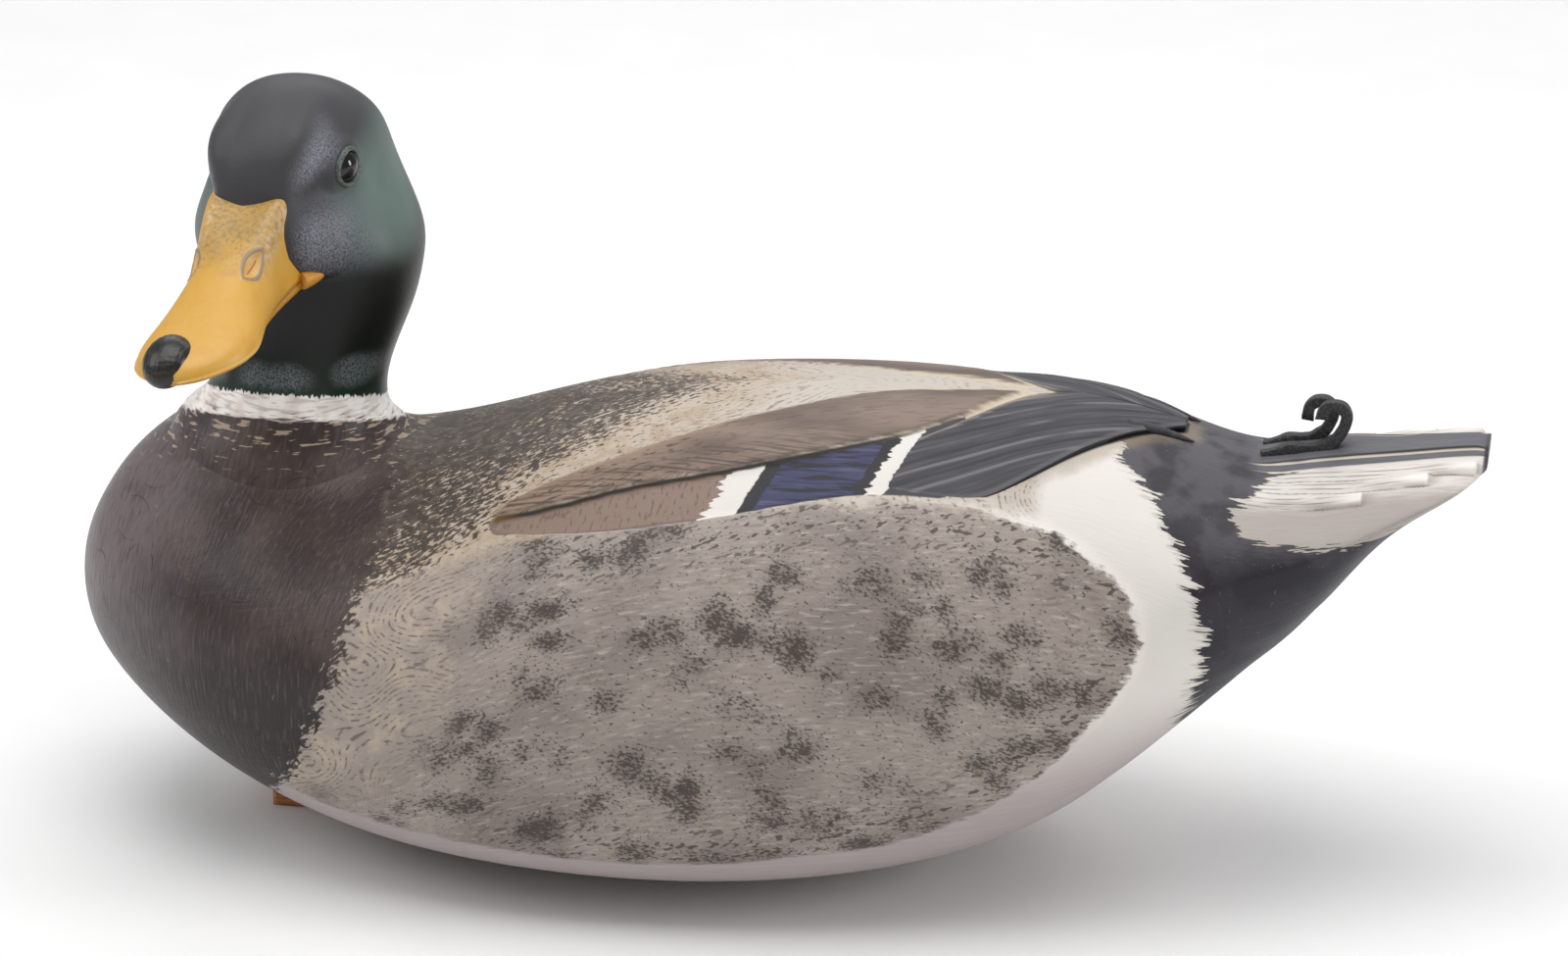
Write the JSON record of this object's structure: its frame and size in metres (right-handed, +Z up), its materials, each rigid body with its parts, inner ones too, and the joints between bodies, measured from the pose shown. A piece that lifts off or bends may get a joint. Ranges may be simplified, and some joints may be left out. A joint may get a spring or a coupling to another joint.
{
  "type": "floating duck decoy",
  "caption": "Carved and painted hollow wooden mallard drake decoy with a turned head, glass eyes, curled tail feathers and a weighted keel.",
  "frame": {"origin": "middle of the keel's flat underside, which the decoy rests on", "axes": "+X towards the tail (the duck swims towards -X), -Y towards the duck's left side, +Z up"},
  "size_m": [0.395, 0.1716, 0.2154],
  "materials": {
    "body_paint": "satin oil paint on carved wood, feather patterns",
    "head_paint": "satin dark green oil paint on carved wood",
    "bill_paint": "satin ochre yellow oil paint, dark nail",
    "wing_paint": "matte charcoal paint with pale feather shafts",
    "curl_paint": "matte black paint",
    "eye_glass": "dark glass, polished",
    "eye_putty": "painted putty, smooth",
    "keel_wood": "brown varnish",
    "bare_wood": "unfinished hardwood",
    "steel": "zinc plated",
    "brass": "aged brass",
    "lead": "dull lead"
  },
  "bodies": {
    "decoy": {"body_upper": "body_paint", "body_lower": "body_paint", "body_dowels": "bare_wood", "head": "head_paint", "neck_dowels": "bare_wood", "neck_lag_screw": "steel", "neck_washer": "steel", "bill": "bill_paint", "bill_dowel": "bare_wood", "eye_glass_left": "eye_glass", "eye_glass_right": "eye_glass", "eye_putty_left": "eye_putty", "eye_putty_right": "eye_putty", "eye_wires": "steel", "primaries_left": "wing_paint", "primaries_right": "wing_paint", "tail_curl_left": "curl_paint", "tail_curl_right": "curl_paint", "keel": "keel_wood", "keel_screws": "brass", "ballast_slugs": "lead", "ballast_screws": "brass", "line_tie_staple": "brass"},
    "tie_ring": {"line_tie_ring": "brass"}
  },
  "joints": [
    {"name": "ring_swing", "type": "hinge", "parent": "decoy", "child": "tie_ring", "pos_m": [-0.098, 0, 0.012], "axis": [1, 0, 0], "range_deg": [-60, 60]}
  ]
}
